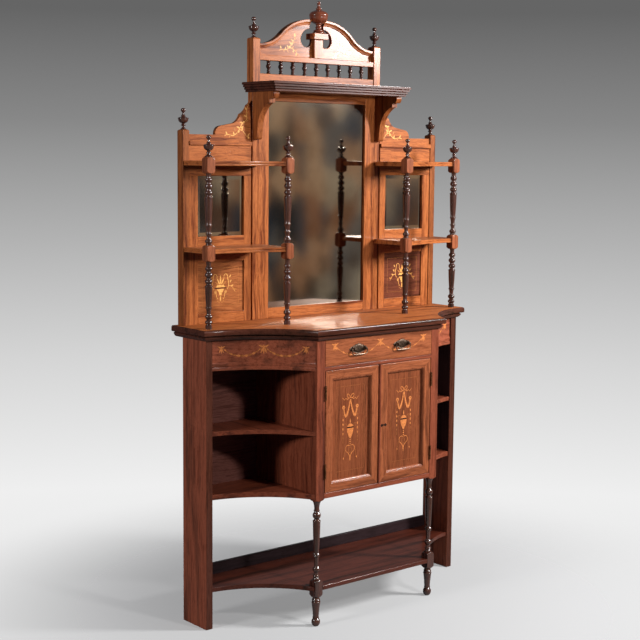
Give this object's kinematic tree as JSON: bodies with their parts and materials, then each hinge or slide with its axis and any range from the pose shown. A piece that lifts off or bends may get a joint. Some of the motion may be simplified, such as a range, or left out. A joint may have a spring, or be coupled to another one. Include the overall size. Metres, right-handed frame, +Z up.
{
  "type": "mirror-back sideboard",
  "caption": "Tall mirror-back sideboard with an inlaid cupboard and drawer, hollow open wings, turned columns with corner shelves, bevelled mirrors and an arched pediment.",
  "frame": {"origin": "centre of the footprint on the floor", "axes": "+X to the right seen from the front, +Y to the back, +Z up"},
  "size_m": [1.22, 0.406, 2.149],
  "materials": {
    "rosewood": "polished",
    "turned_rosewood": "polished",
    "lining_wood": "plain",
    "inlay_wood": "polished",
    "mirror": "silvered",
    "brass": "aged"
  },
  "bodies": {
    "case": {"arch_mouldings": "rosewood", "carcase_back": "rosewood", "carcase_bottom": "rosewood", "centre_mirror": "mirror", "centre_mirror_frame": "rosewood", "centre_uprights": "rosewood", "cornice": "rosewood", "cornice_brackets": "rosewood", "crest_boards": "rosewood", "cupboard_shelf": "rosewood", "cupboard_walls": "rosewood", "drawer_rail": "rosewood", "drawer_runners": "lining_wood", "end_posts": "rosewood", "hinge_leaves_fixed": "brass", "inlaid_panels": "rosewood", "inner_columns": "turned_rosewood", "leg_post_left": "turned_rosewood", "leg_post_right": "turned_rosewood", "lower_shelves": "rosewood", "outer_columns": "turned_rosewood", "pediment_board": "rosewood", "pediment_frame": "rosewood", "pediment_spindles": "turned_rosewood", "post_finials": "turned_rosewood", "pot_board": "rosewood", "pot_board_upstand": "rosewood", "side_frames": "rosewood", "side_panel_left": "rosewood", "side_panel_right": "rosewood", "small_mirrors": "mirror", "top_board": "rosewood", "top_moulding": "rosewood", "upper_back_boards": "lining_wood", "upper_shelves": "rosewood", "urn_finial": "turned_rosewood", "urn_pedestal": "rosewood", "wing_friezes": "rosewood", "wing_shelves": "rosewood"},
    "drawer": {"drawer_front": "rosewood", "drawer_sides": "lining_wood", "drawer_back": "lining_wood", "drawer_bottom": "lining_wood", "handle_plates": "brass", "handle_posts": "brass"},
    "handle_bail_left": {"handle_bail_left": "brass"},
    "handle_bail_right": {"handle_bail_right": "brass"},
    "door_left": {"door_frame_left": "rosewood", "door_panel_left": "rosewood", "door_bead_left": "rosewood", "hinge_leaves_door_left": "brass"},
    "door_right": {"door_frame_right": "rosewood", "door_panel_right": "rosewood", "door_bead_right": "rosewood", "hinge_leaves_door_right": "brass", "meeting_bead": "rosewood", "lock_case": "brass", "lock_escutcheon": "inlay_wood"},
    "lock_bolt": {"lock_bolt": "brass"}
  },
  "joints": [
    {"name": "drawer_slide", "type": "slide", "parent": "case", "child": "drawer", "axis": [0, -1, 0], "range_m": [0, 0.22]},
    {"name": "handle_bail_left_swing", "type": "hinge", "parent": "drawer", "child": "handle_bail_left", "pos_m": [-0.102, -0.1895, 0.951], "axis": [-1, 0, 0], "range_deg": [0, 80]},
    {"name": "handle_bail_right_swing", "type": "hinge", "parent": "drawer", "child": "handle_bail_right", "pos_m": [0.102, -0.1895, 0.951], "axis": [-1, 0, 0], "range_deg": [0, 80]},
    {"name": "door_left_swing", "type": "hinge", "parent": "case", "child": "door_left", "pos_m": [-0.2475, -0.1846, 0.676], "axis": [0, 0, -1], "range_deg": [0, 120]},
    {"name": "door_right_swing", "type": "hinge", "parent": "case", "child": "door_right", "pos_m": [0.2475, -0.1846, 0.676], "axis": [0, 0, 1], "range_deg": [0, 120]},
    {"name": "lock_bolt_slide", "type": "slide", "parent": "door_right", "child": "lock_bolt", "axis": [-1, 0, 0], "range_m": [0, 0.02]}
  ]
}
